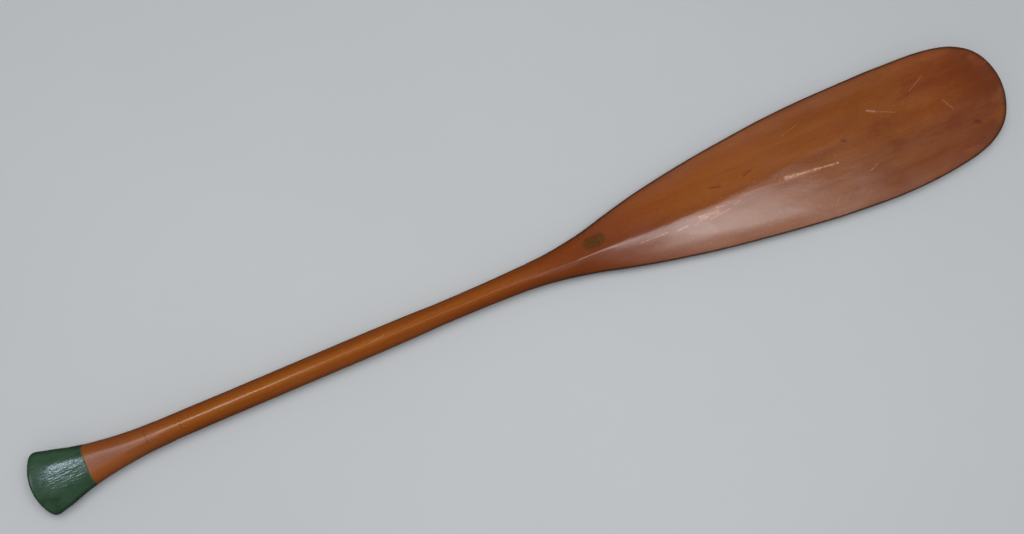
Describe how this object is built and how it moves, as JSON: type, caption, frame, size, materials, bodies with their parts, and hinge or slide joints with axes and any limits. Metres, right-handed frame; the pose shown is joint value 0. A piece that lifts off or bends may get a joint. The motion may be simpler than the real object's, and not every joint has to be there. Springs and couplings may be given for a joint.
{
  "type": "single blade paddle",
  "caption": "Wooden single blade paddle with a round shaft, a flared painted grip and a wide beavertail blade with a ridge that fades to a flat face.",
  "frame": {"origin": "centre of the paddle's footprint on the plane that its lowest point rests on; the shaft's axis is parallel to X, 9.3 mm towards +Y and 15.9 mm above it", "axes": "+X from the grip to the blade's tip, +Z out of the blade's front, +Y towards the blade's narrower side"},
  "size_m": [1.4026, 0.1714, 0.0318],
  "materials": {
    "varnished_wood": "satin, old varnish over reddish brown wood",
    "green_enamel": "gloss enamel paint with brush marks",
    "transfer_film": "worn dull film"
  },
  "bodies": {
    "root": {"shaft_stem": "varnished_wood", "blade_wing_left": "varnished_wood", "blade_wing_right": "varnished_wood", "grip_cheek_left": "varnished_wood", "grip_cheek_right": "varnished_wood", "grip_enamel": "green_enamel", "throat_decal": "transfer_film"}
  },
  "joints": []
}
